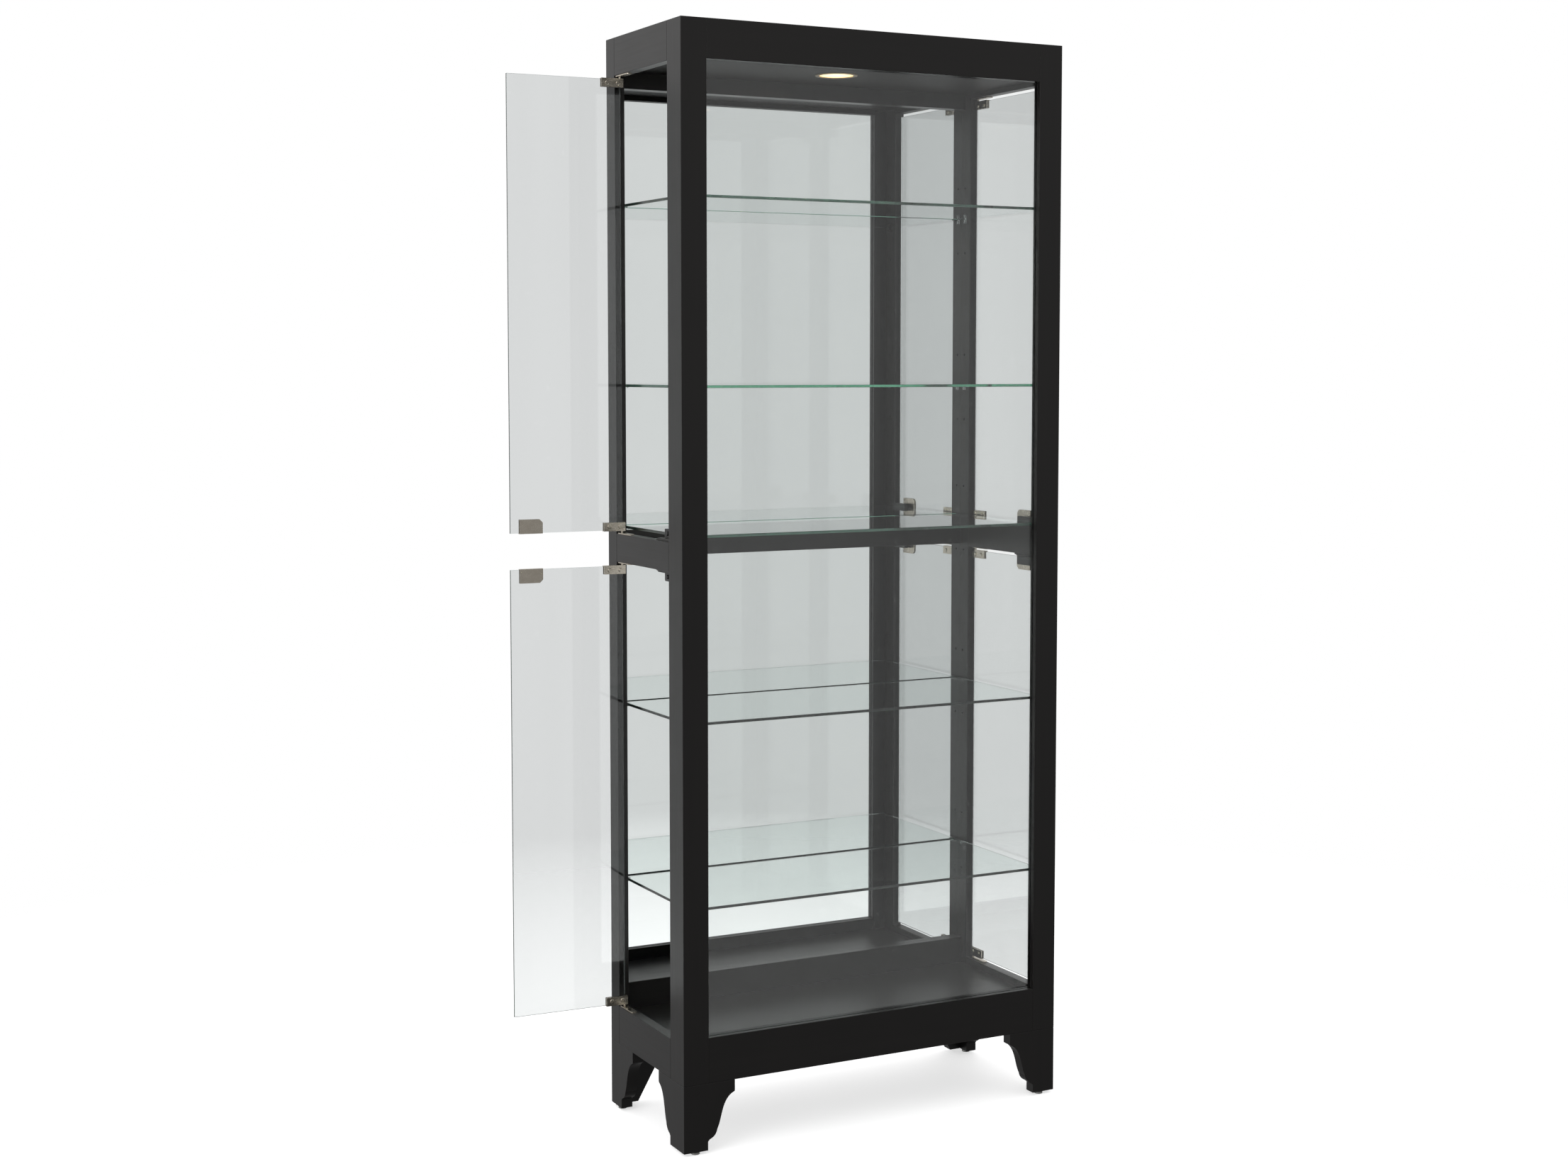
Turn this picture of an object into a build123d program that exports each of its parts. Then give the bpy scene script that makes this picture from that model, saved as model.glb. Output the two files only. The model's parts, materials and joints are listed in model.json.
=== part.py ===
from build123d import *
import os

os.makedirs("parts", exist_ok=True)

# A tall free-standing display cabinet. X runs across the front, the front faces -Y and Z is up.
# The origin is on the floor, under the middle of the case. Lengths are millimetres.

# Case
width = 782.0
depth = 326.0
height = 1989.0
board = 20.0                # thickness of the posts and rails
edge_round = 0.8            # softened edges of posts, rails and legs
front_post_face = 49.0      # front post, seen from the front
front_post_side = 57.0      # front post, seen from the side
back_post_side = 38.0
top_rail_height = 69.0      # front and side top rails
back_top_rail_height = 88.0
front_bottom_rail_height = 82.0
side_bottom_rail_height = 72.0
back_bottom_rail_height = 109.0
middle_rail_bottom = 1034.0
middle_rail_height = 52.0
back_middle_rail_height = 51.0
back_middle_rail_thickness = 10.0
back_middle_rail_rise = 4.0     # its top above the side middle rails

# Panels
deck_top = 185.0
deck_thickness = 16.0
ceiling_bottom = 59.0       # from the top of the case down to the ceiling panel
ceiling_thickness = 12.0
top_panel_thickness = 12.0

# Back: a mirror and its board lie in rebates of the back posts and rails
back_rebate_width = 8.0
back_rebate_depth = 6.0
mirror_thickness = 3.0
pane_clearance = 0.5        # between a pane's edge and the bottom of its rebate

# Front glass: it lies in a rebate behind the front frame, held by four stops
front_rebate_width = 8.0
front_rebate_depth = 10.0
front_glass_thickness = 4.0

# Shelves
shelf_thickness = 5.0
shelf_side_gap = 5.0        # shelf end to post
shelf_front_gap = 5.0       # shelf to front frame
shelf_back_gap = 7.0        # shelf to mirror
middle_shelf_rise = 13.0    # top of the middle shelf above the middle rails
lower_shelf_places = (0.276, 0.638)   # up the bay between deck and middle shelf
upper_shelf_places = (0.315, 0.712)   # up the bay between middle shelf and ceiling

# Shelf clips and their holes
clip_pin_radius = 2.5
clip_pin_length = 8.0
clip_hole_depth = 9.0
clip_hole_spacing = 64.0
clip_length = 11.0
clip_width = 10.0
clip_plate = 1.6
clip_plate_height = 9.0
clip_drop = 3.2             # pin centre below the glass
clip_from_front = 19.0      # pin centre behind the front frame
clip_post_gap = 0.2
clip_rib_from_tip = 2.0
clip_rib_from_foot = 1.0

# Legs: two boards that meet at the outer corner, their free edges cut to an ogee
leg_height = 121.0
leg_board = 22.0
leg_reach = 100.0           # across the front of a front leg, and along the side of a back leg
ankle = 47.0
leg_side_reach = 109.0      # along the side of a front leg
ankle_side = 59.0
leg_block_height = 21.0
leg_block_round = 3.0
toe_height = 16.0
ogee_curve = ((0.75, 0.755), (0.62, 0.667), (0.5, 0.512), (0.34, 0.3))     # shares of swing and leg height
ogee_instep = (0.25, 0.215)
ogee_toe = (0.07, 0.165)
taper_reach = 115.0         # the plain board that faces the wall
taper_ankle = 45.0
leg_bolt_radius = 4.0
leg_bolt_length = 56.0
leg_bolt_into_leg = 28.0
leg_bolt_from_end = 10.0        # in from the post's front or back edge

# Levelling feet
foot_radius = 8.0
foot_thickness = 4.0
foot_gap = 2.0              # top of the foot to the bottom of the leg
stem_radius = 4.0
stem_length = 30.0
stem_clearance = 0.1
stem_bore_depth = 34.0
foot_along_board = 27.0     # from the outer corner, along the board it is screwed into
foot_across_board = 11.0

# Side doors
door_thickness = 5.0
door_gap = 7.0              # glass to rail, above, below and at the front post
door_set_in = 7.5           # middle of the closed glass, in from the outer face
door_edge_round = 0.4
pivot_from_post = 8.0
open_angle = 92.0           # the left doors stand open by this much

# Hinge clips, pins and tabs
hinge_clip_length = 42.0
hinge_clip_height = 16.0
hinge_plate = 2.0
hinge_web = 1.5
clip_ease = 0.1             # packing between the glass and a clip or strike
hinge_tail = 5.0            # clip end past the pin
hinge_screw_radius = 4.0
hinge_screw_height = 1.6
screw_slot = 1.0
screw_crown = 0.8            # share of the head height that is domed
pin_radius = 2.0
pin_clearance = 0.05
tab_thickness = 2.0
tab_width = 12.0
tab_length = 52.0
tab_tail = 5.0
tab_pin_gap = 0.4           # end of the pin to the rail
tab_screw_radius = 3.2
tab_screw_depth = 14.0

# Touch catches
strike_length = 44.0
strike_height = 26.0
strike_plate = 1.2
strike_from_edge = 17.0
strike_chamfer = 6.0
block_thickness = 4.5
block_length = 63.0
block_width = 15.0
block_step = 6.0
block_step_height = 2.0
catch_length = 48.0
catch_height = 16.0
catch_width = 8.5
catch_post_gap = 1.0
catch_shelf_gap = 1.5       # catch to the end of the shelf
catch_round = 2.0
plunger_radius = 4.0
plunger_clearance = 0.3
plunger_reach = 7.0         # depth of the plunger inside the catch at rest
plunger_travel = 3.0
plunger_gap = 0.3           # nose to the strike of a closed door
plunger_from_end = 10.0
plunger_round = 0.3          # share of its radius

# Ceiling light
lamp_radius = 33.0
lamp_flange_width = 6.5
lamp_flange_thickness = 1.6
lamp_can_height = 28.0
lamp_wall = 1.5
lamp_lens_thickness = 3.0
lamp_lens_rise = 1.0
lamp_board_thickness = 4.0
lamp_fit = 0.3

# Cord bush in the back top rail
bush_radius = 7.0
bush_bore = 3.5
bush_flange_width = 3.0
bush_flange_thickness = 2.0
bush_from_side = 60.0
bush_from_top = 30.0

overrun = 1.0               # a cutting body runs past the faces it opens
same_place = 0.01           # points nearer than this are the same point

# Worked out
x_out = width / 2
x_post = x_out - front_post_face
x_in = x_out - board
y_front = -depth / 2
y_back = depth / 2
y_frame = y_front + board
y_back_rail = y_back - board
y_post_front = y_front + front_post_side
y_post_back = y_back - back_post_side
z_leg_bottom = foot_thickness + foot_gap
z_case = z_leg_bottom + leg_height
z_front_low = z_case + front_bottom_rail_height
z_side_low = z_case + side_bottom_rail_height
z_back_low = z_case + back_bottom_rail_height
z_top_rail = height - top_rail_height
z_back_top = height - back_top_rail_height
z_middle_top = middle_rail_bottom + middle_rail_height
z_back_middle_top = z_middle_top + back_middle_rail_rise
z_back_middle = z_back_middle_top - back_middle_rail_height
z_ceiling = height - ceiling_bottom
mirror_front = y_back - back_rebate_depth
shelf_end = x_in - shelf_side_gap
shelf_front = y_frame + shelf_front_gap
shelf_back = mirror_front - shelf_back_gap
x_door = x_out - door_set_in
y_pivot = y_post_back - pivot_from_post
door_free_edge = y_post_front + door_gap
middle_shelf_top = z_middle_top + middle_shelf_rise
sides = {"left": -1, "right": 1}

nodes = {}


def slab(xs, ys, zs):
    """A block between two corners."""
    size = [abs(pair[1] - pair[0]) for pair in (xs, ys, zs)]
    middle = [(pair[1] + pair[0]) / 2 for pair in (xs, ys, zs)]
    return Pos(*middle) * Box(*size)


def rod(radius, start, length, direction):
    """A cylinder from a start point along a direction."""
    return extrude(Plane(start, z_dir=direction) * Circle(radius), length)


def soften(shape):
    """Round every edge."""
    return fillet(shape.edges(), edge_round)


def near(value, target):
    return abs(value - target) < same_place


def soften_post(post, corners, face_y):
    """Round the upright edges on the given corners and the end edges of the outer faces."""
    chosen = []
    for edge in post.edges():
        middle = edge.center()
        if any(near(middle.X, x) and near(middle.Y, y) for x, y in corners):
            chosen.append(edge)
        at_end = near(middle.Z, z_case) or near(middle.Z, height)
        if at_end and (near(middle.X, x_out) or near(middle.Y, face_y)):
            chosen.append(edge)
    return fillet(chosen, edge_round)


def mirrored(shape, side):
    """The right-hand shape as it is, or turned over for the left-hand side."""
    return shape if side > 0 else mirror(shape, Plane.YZ)


def group(shapes):
    return Compound(children=[solid for shape in shapes for solid in shape.solids()])


def shelf_tops():
    lower = [deck_top + place * (middle_shelf_top - deck_top) for place in lower_shelf_places]
    upper = [middle_shelf_top + place * (z_ceiling - middle_shelf_top) for place in upper_shelf_places]
    return lower + [middle_shelf_top] + upper


def clip_spots():
    """Y of the clip pins, at the front and back posts."""
    return (y_frame + clip_from_front, (y_post_back + y_back) / 2)


def clip_holes(y):
    """Three holes for each shelf, drilled outwards into the right-hand post."""
    holes = []
    for top in shelf_tops():
        middle = top - shelf_thickness - clip_drop
        for step in (-1, 0, 1):
            start = (x_in - overrun, y, middle + step * clip_hole_spacing)
            holes.append(rod(clip_pin_radius, start, clip_hole_depth + overrun, (1, 0, 0)))
    return holes


def leg_bolt_spots(front):
    """Two bolts down the middle of the post's side board."""
    x = x_out - board / 2
    if front:
        return [(x, y_front + leg_bolt_from_end), (x, y_post_front - leg_bolt_from_end)]
    return [(x, y_post_back + leg_bolt_from_end), (x, mirror_front - leg_bolt_from_end)]


def leg_bolt(x, y):
    return rod(leg_bolt_radius, (x, y, z_case - leg_bolt_into_leg), leg_bolt_length, (0, 0, 1))


def front_post():
    """L-shaped section, rebated for the front glass, drilled for shelf clips."""
    rebate_x = x_post + front_rebate_width
    rebate_y = y_front + front_rebate_depth
    outline = [
        (x_out, y_front), (x_post, y_front), (x_post, rebate_y), (rebate_x, rebate_y), (rebate_x, y_frame),
        (x_in, y_frame), (x_in, y_post_front), (x_out, y_post_front),
    ]
    section = make_face(Polyline(*outline, close=True))
    post = Pos(0, 0, z_case) * extrude(section, height - z_case)
    post = soften_post(post, [outline[0], outline[1], outline[6], outline[7]], y_front)
    for hole in clip_holes(clip_spots()[0]):
        post -= hole
    for spot in leg_bolt_spots(True):
        post -= leg_bolt(*spot)
    return post


def back_post():
    """A flat post, rebated for the mirror, drilled for shelf clips."""
    rebate_x = x_in + back_rebate_width
    outline = [
        (x_out, y_back), (rebate_x, y_back), (rebate_x, mirror_front), (x_in, mirror_front),
        (x_in, y_post_back), (x_out, y_post_back),
    ]
    section = make_face(Polyline(*outline, close=True))
    post = Pos(0, 0, z_case) * extrude(section, height - z_case)
    post = soften_post(post, [outline[0], outline[4], outline[5]], y_back)
    for hole in clip_holes(clip_spots()[1]):
        post -= hole
    for spot in leg_bolt_spots(False):
        post -= leg_bolt(*spot)
    return post


def front_rail(z0, z1, glass_edge):
    """A front rail with its rebate along the edge that holds the glass."""
    rail = soften(slab((-x_post, x_post), (y_front, y_frame), (z0, z1)))
    inward = 1 if glass_edge == z0 else -1
    cut = (glass_edge - inward * overrun, glass_edge + inward * front_rebate_width)
    rebate = slab((-x_out, x_out), (y_front + front_rebate_depth, y_frame + overrun), cut)
    return rail - rebate


def back_rail(z0, z1, mirror_edges, thickness=board):
    """A back rail with a rebate along each edge that holds a mirror."""
    rail = soften(slab((-x_in, x_in), (y_back - thickness, y_back), (z0, z1)))
    for edge in mirror_edges:
        inward = 1 if edge == z0 else -1
        cut = (edge - inward * overrun, edge + inward * back_rebate_width)
        rail -= slab((-x_out, x_out), (mirror_front, y_back + overrun), cut)
    return rail


def side_rail(z0, z1, hinge_faces):
    """A side rail, drilled for the tab screw on each face that carries a hinge."""
    rail = soften(slab((x_in, x_out), (y_post_front, y_post_back), (z0, z1)))
    for face in hinge_faces:
        rail -= hinge_tab(face, 1 if face == z0 else -1)[1]
    return rail


def back_pane(y0, y1, z0, z1):
    """A mirror or a back board, in the rebates around one bay."""
    reach = back_rebate_width - pane_clearance
    return slab((-x_in - reach, x_in + reach), (y0, y1), (z0 - reach, z1 + reach))


def glass_stops():
    """Four thin strips behind the front glass."""
    ys = (y_front + front_rebate_depth + front_glass_thickness, y_frame)
    outer = x_post + front_rebate_width
    low = z_front_low - front_rebate_width
    high = z_top_rail + front_rebate_width
    return [
        slab((-outer, -x_post), ys, (low, high)),
        slab((x_post, outer), ys, (low, high)),
        slab((-x_post, x_post), ys, (low, z_front_low)),
        slab((-x_post, x_post), ys, (z_top_rail, high)),
    ]


def shelf_clip(y, top):
    """A clear clip: a pin in the post, a plate against it and a ledge under the glass."""
    glass_bottom = top - shelf_thickness
    pin_z = glass_bottom - clip_drop
    face = x_in - clip_post_gap
    ys = (y - clip_width / 2, y + clip_width / 2)
    ledge_low = glass_bottom - clip_plate
    ledge = slab((face - clip_length, face), ys, (ledge_low, glass_bottom))
    plate = slab((face - clip_plate, face), ys, (glass_bottom - clip_plate_height, glass_bottom))
    rib_points = [
        (face - clip_length + clip_rib_from_tip, y, ledge_low),
        (face - clip_plate, y, ledge_low),
        (face - clip_plate, y, glass_bottom - clip_plate_height + clip_rib_from_foot),
    ]
    rib = extrude(make_face(Polyline(*rib_points, close=True)), clip_plate / 2, dir=(0, 1, 0), both=True)
    pin = rod(clip_pin_radius, (face - clip_plate / 2, y, pin_z), clip_pin_length + clip_plate / 2, (1, 0, 0))
    return ledge + plate + rib + pin


def ogee_outline(reach, ankle_width):
    """Face of an ogee leg board, from the outer corner at zero, standing on zero."""
    block = leg_height - leg_block_height
    swing = reach - ankle_width
    curve = [(reach, block)]
    for across, up in ogee_curve:
        curve.append((ankle_width + across * swing, up * leg_height))
    instep = (ankle_width + ogee_instep[0] * swing, ogee_instep[1] * leg_height)
    toe = (ankle_width + ogee_toe[0] * swing, ogee_toe[1] * leg_height)
    edges = [
        Polyline((0, 0), (0, leg_height), (reach, leg_height), (reach, block)),
        Spline(*curve),
        ThreePointArc(curve[-1], instep, toe),
        Polyline(toe, (ankle_width, toe_height), (ankle_width, 0), (0, 0)),
    ]
    face = make_face(Curve() + edges)
    corner = [v for v in face.vertices() if near(v.X, reach) and near(v.Y, block)]
    return fillet(corner, leg_block_round)


def taper_outline():
    """Face of the plain board that faces the wall."""
    points = [(0, 0), (0, leg_height), (taper_reach, leg_height), (taper_ankle, 0)]
    return make_face(Polyline(*points, close=True))


def leg(front):
    """A bracket leg under the right-hand front corner, or turned over under the back one."""
    corner = (x_out, y_front, z_leg_bottom)
    across = Plane(corner, x_dir=(-1, 0, 0), z_dir=(0, 1, 0))
    along = Plane(corner, x_dir=(0, 1, 0), z_dir=(1, 0, 0))
    if front:
        body = across * extrude(ogee_outline(leg_reach, ankle), leg_board)
        body += along * extrude(ogee_outline(leg_side_reach, ankle_side), -leg_board)
    else:
        body = across * extrude(taper_outline(), leg_board)
        body += along * extrude(ogee_outline(leg_reach, ankle), -leg_board)
    outer = []
    for edge in body.edges():
        middle = edge.center()
        on_side = near(middle.X, x_out)
        on_end = near(middle.Y, y_front)
        if (on_side or on_end) and near(middle.Z, z_case) or on_side and on_end:
            outer.append(edge)
    body = fillet(outer, edge_round)
    return body if front else mirror(body, Plane.XZ)


def foot_spot(front):
    """X and Y of a right-hand levelling foot: in the front board, or in the side board of a back leg."""
    if front:
        return x_out - foot_along_board, y_front + foot_across_board
    return x_out - foot_across_board, y_back - foot_along_board


def leg_at(side, front):
    body = leg(front)
    start = (*foot_spot(front), z_leg_bottom - overrun)
    body -= rod(stem_radius + stem_clearance, start, stem_bore_depth + overrun, (0, 0, 1))
    for spot in leg_bolt_spots(front):
        body -= leg_bolt(*spot)
    return mirrored(body, side)


def leveller(side, front):
    """A round foot on a threaded stem."""
    x, y = foot_spot(front)
    x *= side
    foot = rod(foot_radius, (x, y, 0), foot_thickness, (0, 0, 1))
    foot = fillet(foot.edges(), edge_round)
    return foot + rod(stem_radius, (x, y, foot_thickness), stem_length, (0, 0, 1))


def door_span(level):
    """Bottom and top of the glass of the upper or lower door."""
    if level == "upper":
        return z_middle_top + door_gap, z_top_rail - door_gap
    return z_side_low + door_gap, middle_rail_bottom - door_gap


def hinge_clip(z_edge, up):
    """A U-shaped clip over the glass edge with its pin and two set screws, for a closed right door."""
    half = door_thickness / 2
    xs = (x_door - half - hinge_plate, x_door + half + hinge_plate)
    ys = (y_pivot + hinge_tail - hinge_clip_length, y_pivot + hinge_tail)
    clip = slab(xs, ys, (z_edge + up * hinge_web, z_edge + up * (hinge_web - hinge_clip_height)))
    slot = (x_door - half - clip_ease, x_door + half + clip_ease)
    mouth = (ys[0] - overrun, ys[1] + overrun)
    clip -= slab(slot, mouth, (z_edge + up * clip_ease, z_edge - up * hinge_clip_height))
    pin_length = door_gap - hinge_web - tab_pin_gap
    clip += rod(pin_radius, (x_door, y_pivot, z_edge + up * hinge_web), pin_length, (0, 0, up))
    middle_z = z_edge - up * (hinge_clip_height - hinge_web) / 2
    screws = []
    for share in (0.25, 0.75):
        start = (xs[0], ys[0] + share * hinge_clip_length, middle_z)
        head = rod(hinge_screw_radius, start, hinge_screw_height, (-1, 0, 0))
        head = fillet(head.edges().sort_by(Axis.X)[0], hinge_screw_height * screw_crown)
        head -= slab(
            (start[0] - hinge_screw_height - overrun, start[0] - hinge_screw_height / 2),
            (start[1] - hinge_screw_radius, start[1] + hinge_screw_radius),
            (middle_z - screw_slot / 2, middle_z + screw_slot / 2),
        )
        screws.append(head)
    return [clip] + screws


def hinge_tab(z_rail, up):
    """A flat tab on the rail that holds the door pin, with its fixing screw."""
    z_face = z_rail - up * tab_thickness
    ys = (y_pivot + tab_tail - tab_length + tab_width / 2, y_pivot + tab_tail)
    plate = slab((x_door - tab_width / 2, x_door + tab_width / 2), ys, (z_face, z_rail))
    plate += rod(tab_width / 2, (x_door, ys[0], z_face), tab_thickness, (0, 0, up))
    plate -= rod(pin_radius + pin_clearance, (x_door, y_pivot, z_face), tab_thickness, (0, 0, up))
    screw = tab_screw((x_door, ys[0], z_face), up)
    return plate - screw, screw


def tab_screw(start, up):
    """A countersunk screw, its flat head level with the tab."""
    standing = (Align.CENTER, Align.CENTER, Align.MIN)
    head = Cone(tab_screw_radius, tab_screw_radius / 2, tab_thickness, align=standing)
    if up < 0:
        head = Rot(180, 0, 0) * head
    shank = rod(tab_screw_radius / 2, (0, 0, 0), tab_screw_depth, (0, 0, up))
    return Pos(*start) * (head + shank)


def strike(z_edge, up):
    """A folded plate on the glass at the free corner, for a closed right door."""
    half = door_thickness / 2
    xs = (x_door - half - strike_plate, x_door + half + strike_plate)
    ys = (door_free_edge + strike_from_edge, door_free_edge + strike_from_edge + strike_length)
    far = z_edge - up * (strike_height - strike_plate)
    plate = slab(xs, ys, (z_edge + up * strike_plate, far))
    slot = (x_door - half - clip_ease, x_door + half + clip_ease)
    mouth = (ys[0] - overrun, ys[1] + overrun)
    plate -= slab(slot, mouth, (z_edge + up * clip_ease, far - up * overrun))
    edges = plate.edges().filter_by(Axis.X)
    corner = [e for e in edges if near(e.center().Z, far) and near(e.center().Y, ys[1])]
    return chamfer(corner, strike_chamfer)


def latch_block(z_rail, up):
    """A stepped wooden spacer on the middle rail, beside the front post."""
    ys = (y_post_front, y_post_front + block_length)
    xs = (x_in, x_in + block_width)
    block = slab(xs, ys, (z_rail, z_rail + up * block_thickness))
    step_z = (z_rail + up * (block_thickness - block_step_height), z_rail + up * (block_thickness + overrun))
    return block - slab((xs[0] - overrun, xs[1] + overrun), (ys[1] - block_step, ys[1] + overrun), step_z)


def catch_xs():
    inner = shelf_end + catch_shelf_gap
    return inner, inner + catch_width


def catch_centre(z_rail, up):
    return z_rail + up * (block_thickness + catch_height / 2)


def plunger_y():
    return door_free_edge + strike_from_edge + plunger_from_end


def catch_body(z_rail, up):
    """A black catch box, bored for its plunger, with a flange onto the latch block."""
    ys = (y_post_front + catch_post_gap, y_post_front + catch_post_gap + catch_length)
    z_block = z_rail + up * block_thickness
    box = slab(catch_xs(), ys, (z_block, z_block + up * catch_height))
    box = fillet(box.edges().filter_by(Axis.X), catch_round)
    start = (catch_xs()[1] + overrun, plunger_y(), catch_centre(z_rail, up))
    reach = plunger_reach + plunger_gap + overrun
    return box - rod(plunger_radius + plunger_clearance, start, reach, (-1, 0, 0))


def plunger(z_rail, up):
    """A round-nosed plunger that meets the strike of the closed door."""
    nose = x_door - door_thickness / 2 - strike_plate - plunger_gap
    tail = catch_xs()[1] - plunger_reach + plunger_travel + plunger_gap
    body = rod(plunger_radius, (tail, plunger_y(), catch_centre(z_rail, up)), nose - tail, (1, 0, 0))
    return fillet(body.edges().sort_by(Axis.X)[-1], plunger_radius * plunger_round)


def lamp_parts():
    """A flanged can above the ceiling hole, a light board inside it and a lens."""
    bottom = z_ceiling - lamp_flange_thickness
    can = rod(lamp_radius, (0, 0, bottom), lamp_can_height + lamp_flange_thickness, (0, 0, 1))
    flange = rod(lamp_radius + lamp_flange_width, (0, 0, bottom), lamp_flange_thickness, (0, 0, 1))
    flange = fillet(flange.edges().sort_by(Axis.Z)[0], lamp_flange_thickness / 2)
    inner = lamp_radius - lamp_wall
    hollow_height = lamp_can_height + lamp_flange_thickness - lamp_wall
    hollow = rod(inner, (0, 0, bottom - overrun), hollow_height + overrun, (0, 0, 1))
    housing = can + flange - hollow
    light_board = rod(inner, (0, 0, z_ceiling + lamp_can_height - lamp_wall - lamp_board_thickness),
                      lamp_board_thickness, (0, 0, 1))
    lens = rod(inner, (0, 0, bottom + lamp_lens_rise), lamp_lens_thickness, (0, 0, 1))
    return housing, light_board, lens


def cord_bush_shape(radius):
    x = x_in - bush_from_side
    z = height - bush_from_top
    return rod(radius, (x, y_back_rail, z), board, (0, 1, 0)), (x, y_back, z)


# Case frame
for side_name, side in sides.items():
    nodes["post_front_" + side_name] = mirrored(front_post(), side)
    nodes["post_back_" + side_name] = mirrored(back_post(), side)
    rails = {
        "top": side_rail(z_top_rail, height, [z_top_rail]),
        "middle": side_rail(middle_rail_bottom, z_middle_top, [middle_rail_bottom, z_middle_top]),
        "bottom": side_rail(z_case, z_side_low, [z_side_low]),
    }
    for level, rail in rails.items():
        nodes["rail_" + side_name + "_" + level] = mirrored(rail, side)

nodes["rail_front_top"] = front_rail(z_top_rail, height, z_top_rail)
nodes["rail_front_bottom"] = front_rail(z_case, z_front_low, z_front_low)
nodes["rail_back_bottom"] = back_rail(z_case, z_back_low, [z_back_low])
middle_edges = [z_back_middle, z_back_middle_top]
nodes["rail_back_middle"] = back_rail(*middle_edges, middle_edges, back_middle_rail_thickness)
bush_hole, bush_seat = cord_bush_shape(bush_radius)
nodes["rail_back_top"] = back_rail(z_back_top, height, [z_back_top]) - bush_hole

# Panels
inside_x = (-x_in, x_in)
inside_y = (y_frame, y_back_rail)
nodes["deck_panel"] = slab(inside_x, inside_y, (deck_top - deck_thickness, deck_top))
ceiling = slab(inside_x, inside_y, (z_ceiling, z_ceiling + ceiling_thickness))
lamp_hole = rod(lamp_radius + lamp_fit, (0, 0, z_ceiling), ceiling_thickness, (0, 0, 1))
nodes["ceiling_panel"] = ceiling - lamp_hole
nodes["top_panel"] = slab(inside_x, inside_y, (height - top_panel_thickness, height))

# Mirrors and back boards
bays = {"upper": (z_back_middle_top, z_back_top), "lower": (z_back_low, z_back_middle)}
boards = []
for level, (z0, z1) in bays.items():
    nodes["mirror_" + level] = back_pane(mirror_front, mirror_front + mirror_thickness, z0, z1)
    boards.append(back_pane(mirror_front + mirror_thickness, y_back, z0, z1))
nodes["back_boards"] = group(boards)

# Front glass
glass_reach = front_rebate_width - pane_clearance
glass_face = y_front + front_rebate_depth
nodes["front_glass"] = slab(
    (-x_post - glass_reach, x_post + glass_reach),
    (glass_face, glass_face + front_glass_thickness),
    (z_front_low - glass_reach, z_top_rail + glass_reach),
)
nodes["glass_stops"] = group(glass_stops())

# Shelves and their clips
clips = []
for number, top in enumerate(shelf_tops(), start=1):
    shelf = slab((-shelf_end, shelf_end), (shelf_front, shelf_back), (top - shelf_thickness, top))
    nodes["shelf_" + str(number)] = fillet(shelf.edges(), door_edge_round)
    for y in clip_spots():
        clips.extend([mirrored(shelf_clip(y, top), side) for side in sides.values()])
nodes["shelf_clips"] = group(clips)

# Legs, their bolts and the levelling feet
bolts = []
for side_name, side in sides.items():
    for end in ("front", "back"):
        nodes["leg_" + end + "_" + side_name] = leg_at(side, end == "front")
        nodes["leveller_" + end + "_" + side_name] = leveller(side, end == "front")
        bolts.extend([mirrored(leg_bolt(*spot), side) for spot in leg_bolt_spots(end == "front")])
nodes["leg_bolts"] = group(bolts)

# Doors, hinges and touch catches
tabs = []
blocks = []
catches = []
for side_name, side in sides.items():
    swing = Pos(side * x_door, y_pivot, 0) * Rot(0, 0, -open_angle) * Pos(-side * x_door, -y_pivot, 0)
    place = swing if side < 0 else Pos(0, 0, 0)
    for level, latch_up in (("upper", 1), ("lower", -1)):
        bottom, top = door_span(level)
        half = door_thickness / 2
        glass = slab((x_door - half, x_door + half), (door_free_edge, y_pivot), (bottom, top))
        glass = fillet(glass.edges(), door_edge_round)
        latch_edge = bottom if latch_up > 0 else top
        rail = z_middle_top if latch_up > 0 else middle_rail_bottom
        name = side_name + "_" + level
        nodes["door_glass_" + name] = place * mirrored(glass, side)
        clip_solids = [mirrored(s, side) for s in hinge_clip(bottom, -1) + hinge_clip(top, 1)]
        nodes["hinge_clips_" + name] = place * group(clip_solids)
        nodes["strike_" + name] = place * mirrored(strike(latch_edge, -latch_up), side)
        nodes["plunger_" + name] = mirrored(plunger(rail, latch_up), side)
        for edge, up in ((bottom, -1), (top, 1)):
            tabs.extend([mirrored(s, side) for s in hinge_tab(edge + up * door_gap, up)])
        blocks.append(mirrored(latch_block(rail, latch_up), side))
        catches.append(mirrored(catch_body(rail, latch_up), side))
nodes["hinge_tabs"] = group(tabs)
nodes["latch_blocks"] = group(blocks)
nodes["catch_bodies"] = group(catches)

# Light and cord bush
housing, light_board, lens = lamp_parts()
nodes["lamp_housing"] = group([housing, light_board])
nodes["lamp_lens"] = lens
flange = rod(bush_radius + bush_flange_width, bush_seat, bush_flange_thickness, (0, 1, 0))
bore_start = (bush_seat[0], y_back_rail - overrun, bush_seat[2])
bush_bore_cut = rod(bush_bore, bore_start, board + bush_flange_thickness + 2 * overrun, (0, 1, 0))
nodes["cord_bush"] = bush_hole + flange - bush_bore_cut

for name, shape in nodes.items():
    export_step(shape, os.path.join("parts", name + ".step"))
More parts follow.
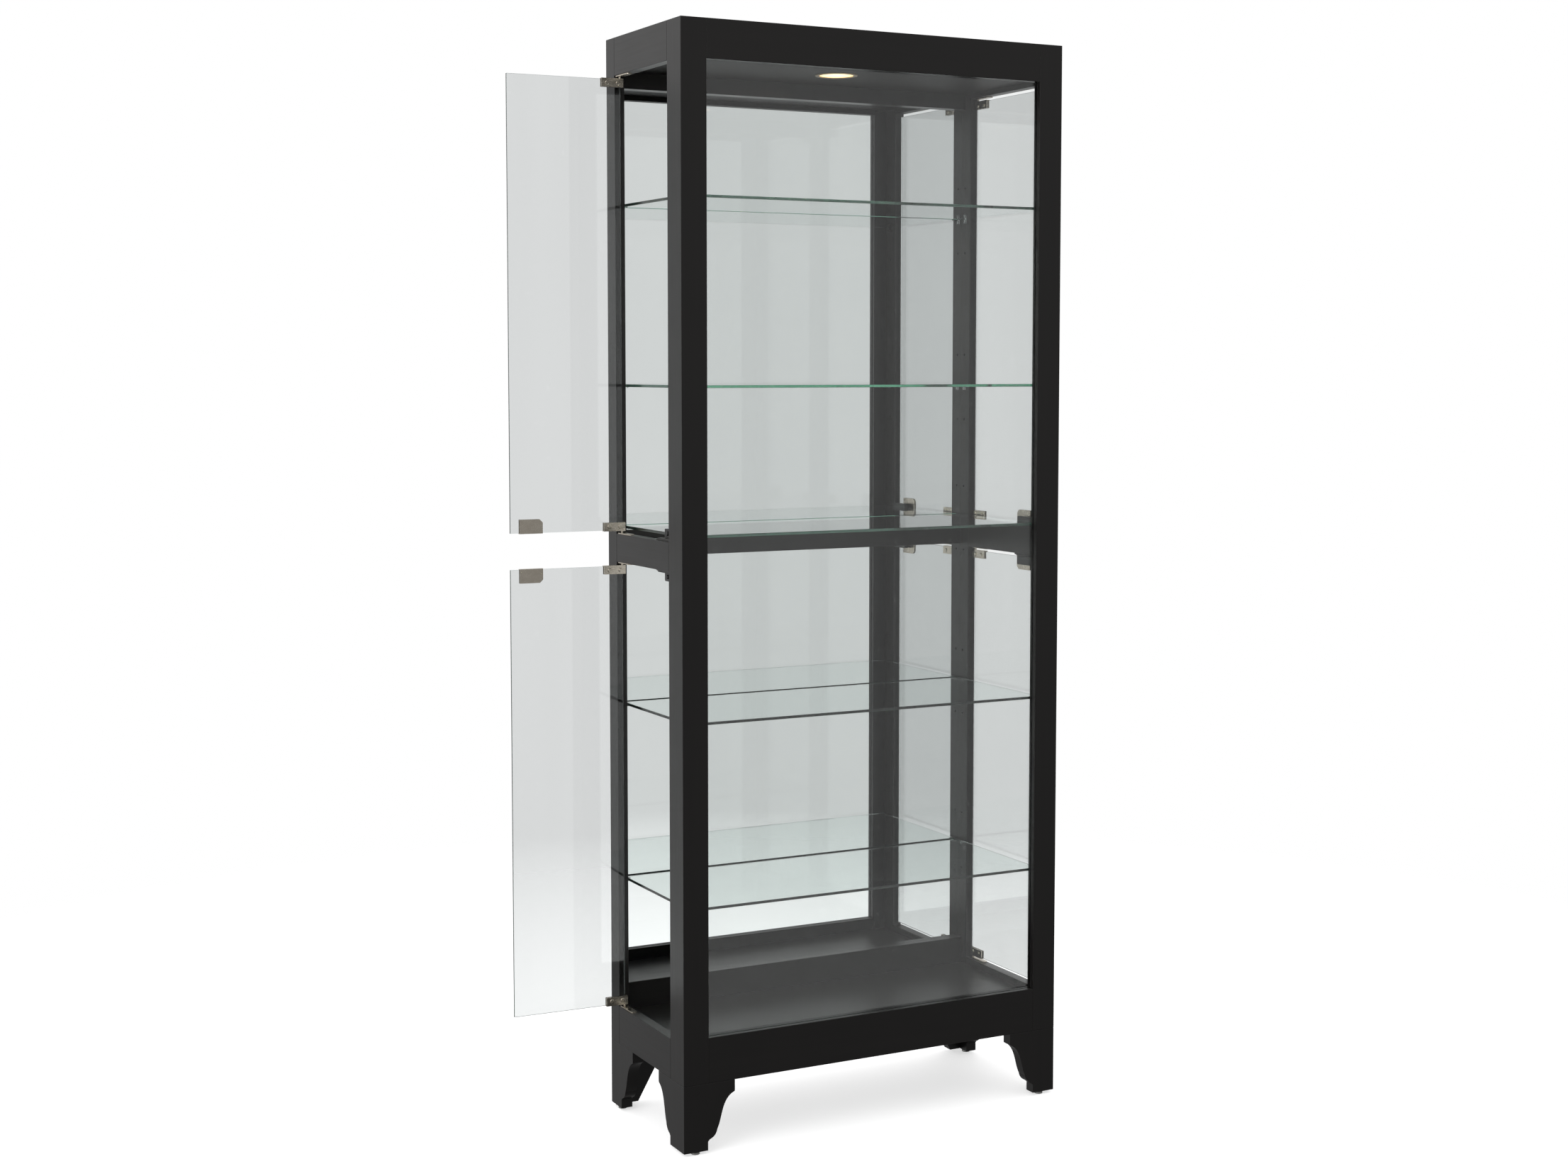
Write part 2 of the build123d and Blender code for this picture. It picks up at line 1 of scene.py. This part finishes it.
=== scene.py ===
import bpy
import bmesh
import json
import math
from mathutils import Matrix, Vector


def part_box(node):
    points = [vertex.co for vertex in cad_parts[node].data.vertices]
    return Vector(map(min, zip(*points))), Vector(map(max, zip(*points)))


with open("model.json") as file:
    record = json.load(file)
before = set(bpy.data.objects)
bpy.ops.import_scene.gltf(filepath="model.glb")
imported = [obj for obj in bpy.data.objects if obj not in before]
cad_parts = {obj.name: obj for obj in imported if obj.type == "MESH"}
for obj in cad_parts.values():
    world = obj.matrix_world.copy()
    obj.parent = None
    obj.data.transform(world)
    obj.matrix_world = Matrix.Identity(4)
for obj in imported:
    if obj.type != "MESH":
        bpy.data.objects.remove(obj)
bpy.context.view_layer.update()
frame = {"nodes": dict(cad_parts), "record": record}
nodes = frame["nodes"]
print("frame loaded:", len(nodes), "nodes")


class Wire:
    # one output socket that can be used in sums
    def __init__(self, net, socket):
        self.net = net
        self.socket = socket

    def calc(self, operation, first, second=0.0):
        return self.net.add("ShaderNodeMath", {"operation": operation}, {0: first, 1: second})

    def __add__(self, other):
        return self.calc("ADD", self, other)

    def __radd__(self, other):
        return self.calc("ADD", other, self)

    def __sub__(self, other):
        return self.calc("SUBTRACT", self, other)

    def __rsub__(self, other):
        return self.calc("SUBTRACT", other, self)

    def __mul__(self, other):
        return self.calc("MULTIPLY", self, other)

    def __rmul__(self, other):
        return self.calc("MULTIPLY", other, self)

    def __truediv__(self, other):
        return self.calc("DIVIDE", self, other)

    def __pow__(self, other):
        return self.calc("POWER", self, other)

    def __gt__(self, other):
        return self.calc("GREATER_THAN", self, other)

    def __lt__(self, other):
        return self.calc("LESS_THAN", self, other)

    def size(self):
        return self.calc("ABSOLUTE", self)

    def clamped(self):
        return self.net.add("ShaderNodeClamp", {}, {"Value": self})


class Net:
    # the node tree of one material or of the world
    def __init__(self, owner):
        owner.use_nodes = True
        self.owner = owner
        self.tree = owner.node_tree
        self.tree.nodes.clear()

    def add(self, kind, settings=None, inputs=None, out=0):
        node = self.tree.nodes.new(kind)
        for key, value in (settings or {}).items():
            if key == "stops":
                self.setStops(node.color_ramp, value)
            else:
                setattr(node, key, value)
        for key, value in (inputs or {}).items():
            if isinstance(value, Wire):
                self.tree.links.new(value.socket, node.inputs[key])
            else:
                node.inputs[key].default_value = value
        return Wire(self, node.outputs[out]) if len(node.outputs) else node

    def setStops(self, ramp, stops):
        while len(ramp.elements) < len(stops):
            ramp.elements.new(1.0)
        for element, (place, colour) in zip(ramp.elements, stops):
            element.position = place
            element.color = colour if len(colour) == 4 else (*colour, 1.0)

    def coords(self, kind="Object"):
        return self.add("ShaderNodeTexCoord", {}, {}, kind)

    def stretched(self, scale, kind="Object"):
        return self.add("ShaderNodeMapping", {}, {"Vector": self.coords(kind), "Scale": scale})

    def axes(self, vector):
        split = self.add("ShaderNodeSeparateXYZ", {}, {"Vector": vector})
        return [Wire(self, output) for output in split.socket.node.outputs]

    def fromMiddle(self):
        x, y, z = self.axes(self.coords())
        return (x * x + y * y) ** 0.5

    def mixShaders(self, factor, first, second):
        return self.add("ShaderNodeMixShader", {}, {0: factor, 1: first, 2: second})

    def noise(self, where, scale, detail=4.0, roughness=0.55):
        return self.add("ShaderNodeTexNoise", {}, {
            "Vector": where, "Scale": scale, "Detail": detail, "Roughness": roughness})

    def blend(self, factor, first, second):
        first = first if isinstance(first, Wire) else (*first, 1.0)
        second = second if isinstance(second, Wire) else (*second, 1.0)
        return self.add("ShaderNodeMix", {"data_type": "RGBA"}, {0: factor, 6: first, 7: second}, 2)

    def bump(self, height, strength, distance):
        return self.add("ShaderNodeBump", {}, {"Height": height, "Strength": strength, "Distance": distance})

    def surface(self, shader):
        self.add("ShaderNodeOutputMaterial", {}, {"Surface": shader})


def newNet(name):
    return Net(bpy.data.materials.new(name))


woodLooks = {
    "case": {"deep": (0.0064, 0.0057, 0.0054), "worn": (0.0116, 0.0100, 0.0093), "roughness": 0.34,
             "specular": 0.31, "coat": 0.06, "poreScale": 260.0, "cloudScale": 5.0, "alongGrain": 0.03},
    # the ceiling copy has darker deep and worn colours than the case wood: painted shade for the inside of the
    # cabinet, a shaded copy of the same wood; its lower sheen is a setting
    "ceiling": {"deep": (0.0050, 0.0044, 0.0042), "worn": (0.0085, 0.0074, 0.0070), "roughness": 0.50,
                "specular": 0.10, "coat": 0.0, "poreScale": 260.0, "cloudScale": 5.0, "alongGrain": 0.03},
}


def blackWood(kind, axis):
    look = woodLooks[kind]
    net = newNet(kind + "Wood" + "XYZ"[axis])
    scale = [1.0, 1.0, 1.0]
    scale[axis] = look["alongGrain"]
    along = net.stretched(scale)
    pores = net.noise(along, look["poreScale"], 5.0, 0.6)
    streaks = net.noise(along, look["poreScale"] * 0.22, 3.0)
    cloud = net.noise(net.coords(), look["cloudScale"], 3.0)
    peel = net.noise(net.coords(), 420.0, 2.0)          # faint orange peel of the sprayed lacquer
    tone = (streaks * 0.6 + cloud * 0.5 - 0.2).clamped()
    colour = net.blend(tone, look["deep"], look["worn"])
    height = pores * 0.7 + streaks * 0.5 + peel * 0.2
    net.surface(net.add("ShaderNodeBsdfPrincipled", {}, {
        "Base Color": colour,
        "Roughness": cloud * 0.10 + pores * 0.10 + (look["roughness"] - 0.10),
        "Specular IOR Level": look["specular"],
        "Coat Weight": look["coat"],
        "Coat Roughness": 0.22,
        "Normal": net.bump(height, 0.05, 0.0002),
    }))
    return net.owner


paneLook = {
    "door": {"tint": (0.715, 0.73, 0.73), "edge": (0.22, 0.42, 0.36), "band": 0.955},
    "front": {"tint": (0.90, 0.915, 0.91), "edge": (0.24, 0.42, 0.36), "band": 0.985},
    "shelf": {"tint": (0.88, 0.945, 0.925), "edge": (0.34, 0.74, 0.56), "band": 0.985},
}


def glassPane(name, look, facing):
    # facing is the way the pane's flat faces look; the rim is greener than the faces
    net = newNet(name)
    normal = net.coords("Normal")
    across = net.add("ShaderNodeVectorMath", {"operation": "DOT_PRODUCT"}, {0: normal, 1: facing}, "Value")
    rim = across.size() < 0.72
    where = net.coords()
    smear = net.noise(where, 3.5, 3.0)
    dust = net.noise(where, 60.0, 4.0)
    bands = net.noise(net.stretched((1.0, 1.0, 0.07)), 9.0, 2.0)
    tint = net.blend((bands * 1.8 - 0.4).clamped(), tuple(c * look["band"] for c in look["tint"]), look["tint"])
    body = net.add("ShaderNodeBsdfPrincipled", {}, {
        "Base Color": net.blend(rim, tint, look["edge"]),
        "Roughness": dust * 0.012 + rim * 0.12,
        "IOR": 1.5,
        "Transmission Weight": 1.0,
        "Normal": net.bump(smear, 0.012, 0.002),
    })
    clear = net.add("ShaderNodeBsdfTransparent", {}, {"Color": (*look["tint"], 1.0)})
    shade = net.add("ShaderNodeLightPath", {}, {}, "Is Shadow Ray")
    net.surface(net.mixShaders(shade, body, clear))
    return net.owner


def silverMirror():
    net = newNet("silverMirror")
    haze = net.noise(net.coords(), 7.0, 4.0)
    net.surface(net.add("ShaderNodeBsdfPrincipled", {}, {
        "Base Color": net.blend(haze, (0.87, 0.89, 0.89), (0.90, 0.92, 0.915)),
        "Metallic": 1.0,
        "Roughness": 0.0,
    }))
    return net.owner


metalLooks = {
    "warmNickel": {"low": (0.40, 0.355, 0.29), "high": (0.66, 0.61, 0.53), "roughness": 0.24, "brush": 0.05},
    "zincSteel": {"low": (0.30, 0.30, 0.29), "high": (0.48, 0.48, 0.47), "roughness": 0.38, "brush": 1.0},
    "spunBronze": {"low": (0.20, 0.15, 0.085), "high": (0.36, 0.28, 0.17), "roughness": 0.30, "brush": 1.0},
}


def metal(name):
    look = metalLooks[name]
    net = newNet(name)
    grain = net.noise(net.stretched((look["brush"], 1.0, 1.0)), 1500.0, 4.0)
    patina = net.noise(net.coords(), 90.0, 5.0)
    net.surface(net.add("ShaderNodeBsdfPrincipled", {}, {
        "Base Color": net.blend((patina * 0.7 + grain * 0.4 - 0.05).clamped(), look["low"], look["high"]),
        "Metallic": 1.0,
        "Roughness": grain * 0.14 + patina * 0.12 + (look["roughness"] - 0.12),
        "Normal": net.bump(grain, 0.10, 0.0001),
    }))
    return net.owner


plasticLooks = {
    "blackPlastic": {"low": (0.006, 0.006, 0.006), "high": (0.016, 0.016, 0.017), "roughness": 0.42},
    "bushPlastic": {"low": (0.008, 0.008, 0.008), "high": (0.02, 0.02, 0.02), "roughness": 0.55},
}


def plastic(name):
    look = plasticLooks[name]
    net = newNet(name)
    texture = net.noise(net.coords(), 2600.0, 2.0)
    cloud = net.noise(net.coords(), 130.0, 3.0)
    net.surface(net.add("ShaderNodeBsdfPrincipled", {}, {
        "Base Color": net.blend(cloud, look["low"], look["high"]),
        "Roughness": texture * 0.10 + (look["roughness"] - 0.05),
        "Normal": net.bump(texture, 0.22, 0.00008),
    }))
    return net.owner


def clearPlastic():
    net = newNet("clearPlastic")
    swirl = net.noise(net.coords(), 240.0, 3.0)
    body = net.add("ShaderNodeBsdfPrincipled", {}, {
        "Base Color": net.blend(swirl, (0.84, 0.87, 0.87), (0.95, 0.97, 0.97)),
        "Roughness": swirl * 0.10 + 0.03,
        "IOR": 1.49,
        "Transmission Weight": 1.0,
    })
    clear = net.add("ShaderNodeBsdfTransparent", {}, {"Color": (0.9, 0.92, 0.92, 1.0)})
    shade = net.add("ShaderNodeLightPath", {}, {}, "Is Shadow Ray")
    net.surface(net.mixShaders(shade, body, clear))
    return net.owner


def hardBoard():
    net = newNet("hardBoard")
    fibre = net.noise(net.stretched((1.0, 1.0, 0.3)), 420.0, 6.0, 0.7)
    cloud = net.noise(net.coords(), 6.0, 3.0)
    tone = (fibre * 0.8 + cloud * 0.5 - 0.15).clamped()
    net.surface(net.add("ShaderNodeBsdfPrincipled", {}, {
        "Base Color": net.blend(tone, (0.085, 0.052, 0.03), (0.19, 0.125, 0.075)),
        "Roughness": fibre * 0.2 + 0.5,
        "Normal": net.bump(fibre, 0.3, 0.0003),
    }))
    return net.owner


lampLook = {"glow": (1.0, 0.80, 0.48), "rim": (1.0, 0.62, 0.25), "strength": 1.9, "rings": 2600.0}


def lampLens():
    # a prismatic lens, lit from behind: bright in the middle, deeper towards its rim
    look = lampLook
    net = newNet("lampLens")
    radius = net.fromMiddle()
    rings = net.add("ShaderNodeMath", {"operation": "SINE"}, {0: radius * look["rings"]})
    inner = 1.0 - (radius / 0.034).clamped()
    glow = net.blend((inner * 1.6).clamped(), look["rim"], look["glow"])
    net.surface(net.add("ShaderNodeBsdfPrincipled", {}, {
        "Base Color": (0.9, 0.85, 0.75, 1.0),
        "Roughness": rings * 0.05 + 0.3,
        "Emission Color": glow,
        "Emission Strength": look["strength"],
        "Normal": net.bump(rings, 0.4, 0.0004),
    }))
    return net.owner


def longAxis(name):
    low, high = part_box(name)
    spans = [high[i] - low[i] for i in range(3)]
    return spans.index(max(spans))


def flatFacing(name):
    # the direction across the thinnest way of a pane, turned with a door that stands open
    low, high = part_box(name)
    spans = [high[i] - low[i] for i in range(3)]
    if not name.startswith("door_glass_left"):
        return tuple(1.0 if spans[i] == min(spans) else 0.0 for i in range(3))
    lean = math.atan2(spans[1], spans[0])
    return (math.sin(lean), math.cos(lean), 0.0)


def finish(name, material):
    slots = nodes[name].data.materials
    slots.clear()
    slots.append(material)


woods = [blackWood("case", axis) for axis in range(3)]
# darker copy of the case wood: painted shade on the ceiling panel
shadedCeilingWood = blackWood("ceiling", 0)
finishes = {
    "mirror": silverMirror(), "hardboard": hardBoard(), "clear_plastic": clearPlastic(),
    "nickel": metal("warmNickel"), "foot_steel": metal("zincSteel"), "lamp_metal": metal("spunBronze"),
    "black_plastic": plastic("blackPlastic"), "bush_plastic": plastic("bushPlastic"), "lamp_lens": lampLens(),
}
finishes["bolt_steel"] = finishes["foot_steel"]
paneKinds = {"door_glass": "door", "front_glass": "front", "shelf_glass": "shelf"}

for part in frame["record"]["subparts"]:
    name = part["node"]
    slot = part["material_slot"]
    if name == "ceiling_panel":
        finish(name, shadedCeilingWood)
    elif slot == "black_wood":
        finish(name, woods[longAxis(name)])
    elif slot in paneKinds:
        finish(name, glassPane(name + "Glass", paneLook[paneKinds[slot]], flatFacing(name)))
    else:
        finish(name, finishes[slot])
print("finishes on")


def paleFloor():
    net = newNet("paleFloor")
    fade = ((net.fromMiddle() - 0.9) / 1.6).clamped()
    mottle = net.noise(net.coords(), 9.0, 3.0)
    body = net.add("ShaderNodeBsdfPrincipled", {}, {
        "Base Color": net.blend(mottle, (0.90, 0.90, 0.90), (0.92, 0.92, 0.92)),
        "Roughness": mottle * 0.1 + 0.6,
        "Specular IOR Level": 0.15,
        "Emission Color": (1.0, 1.0, 1.0, 1.0),
        "Emission Strength": 0.6,
    })
    clear = net.add("ShaderNodeBsdfTransparent", {}, {"Color": (1.0, 1.0, 1.0, 1.0)})
    net.surface(net.mixShaders(fade, body, clear))
    return net.owner


def layFloor(reach=5.0):
    mesh = bpy.data.meshes.new("floor")
    bm = bmesh.new()
    rings = [0.0, 1.2, 2.0, 3.0, reach]
    steps = 48
    centre = bm.verts.new((0, 0, 0))
    last = None
    for radius in rings[1:]:
        turns = [2 * math.pi * i / steps for i in range(steps)]
        ring = [bm.verts.new((radius * math.cos(turn), radius * math.sin(turn), 0)) for turn in turns]
        for i in range(steps):
            j = (i + 1) % steps
            bm.faces.new((centre, ring[i], ring[j]) if last is None else (last[i], ring[i], ring[j], last[j]))
        last = ring
    bm.to_mesh(mesh)
    bm.free()
    floor = bpy.data.objects.new("floor", mesh)
    bpy.context.scene.collection.objects.link(floor)
    mesh.materials.append(paleFloor())
    floor.visible_diffuse = False
    floor.visible_glossy = False


skyLook = {"mirrorFront": 0.80, "highSides": 0.95, "highFront": 0.56, "lowSides": 0.25, "lowFront": 0.18}


def softSky():
    # white to look at; what lights the wood is dimmer in front and falls away downwards
    world = bpy.data.worlds.new("softSky")
    bpy.context.scene.world = world
    net = Net(world)
    look = skyLook

    def even(strength):
        return net.add("ShaderNodeBackground", {}, {"Color": (1.0, 1.0, 1.0, 1.0), "Strength": strength})

    way = net.coords("Generated")
    toFront = net.add("ShaderNodeVectorMath", {"operation": "DOT_PRODUCT"}, {0: way, 1: (0.45, -0.89, 0.0)}, "Value")
    inFront = net.add("ShaderNodeMapRange", {"interpolation_type": "SMOOTHSTEP"},
                      {"Value": toFront, "From Min": -0.1, "From Max": 0.75})
    raised = net.add("ShaderNodeMapRange", {}, {"Value": net.axes(way)[2], "From Min": -0.45, "From Max": 0.2})
    path = net.add("ShaderNodeLightPath").socket.node.outputs
    rays = ("Camera", "Diffuse", "Glossy", "Singular", "Transmission")
    direct, diffuse, glossy, sharp, passing = [Wire(net, path["Is " + ray + " Ray"]) for ray in rays]
    seen = net.mixShaders(inFront * (1.0 - direct), even(1.0), even(look["mirrorFront"]))
    high = net.mixShaders(inFront, even(look["highSides"]), even(look["highFront"]))
    low = net.mixShaders(inFront, even(look["lowSides"]), even(look["lowFront"]))
    lighting = net.mixShaders(raised, low, high)
    softBounce = (diffuse + glossy * (1.0 - sharp) * (1.0 - passing)).clamped()
    net.add("ShaderNodeOutputWorld", {}, {"Surface": net.mixShaders(softBounce, seen, lighting)})


def addLight(name, kind, place, target, settings):
    data = bpy.data.lights.new(name, kind)
    for key, value in settings.items():
        setattr(data, key, value)
    light = bpy.data.objects.new(name, data)
    bpy.context.scene.collection.objects.link(light)
    light.location = place
    light.rotation_euler = (Vector(target) - Vector(place)).to_track_quat("-Z", "Y").to_euler()


lensLow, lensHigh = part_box("lamp_lens")
layFloor()
softSky()
addLight("keySoftbox", "AREA", (-3.4, -2.0, 3.2), (0, 0, 1.5),
         {"energy": 30.0, "shape": "RECTANGLE", "size": 2.0, "size_y": 2.6})
addLight("ceilingLamp", "SPOT", (0, 0, lensLow[2] - 0.004), (0, 0, 0.2),
         {"energy": 7.0, "spot_size": 2.2, "spot_blend": 0.9, "shadow_soft_size": 0.028, "color": (1.0, 0.82, 0.58)})

cameraSetup = {"place": (-2.0074, -3.6669, 1.3918), "turn": 27.381, "tilt": -4.12, "lens": 51.32, "shift": -0.038}


def setCamera():
    data = bpy.data.cameras.new("camera")
    data.sensor_width = 36.0
    data.lens = cameraSetup["lens"]
    data.shift_y = cameraSetup["shift"]
    data.clip_end = 50.0
    camera = bpy.data.objects.new("camera", data)
    bpy.context.scene.collection.objects.link(camera)
    camera.location = cameraSetup["place"]
    camera.rotation_euler = (math.radians(90 + cameraSetup["tilt"]), 0, -math.radians(cameraSetup["turn"]))
    bpy.context.scene.camera = camera


setCamera()
scene = bpy.context.scene
scene.view_settings.view_transform = "Standard"
scene.cycles.transparent_max_bounces = 24
scene.cycles.transmission_bounces = 16
scene.cycles.max_bounces = 20
scene.cycles.caustics_refractive = False
print("light and camera set")
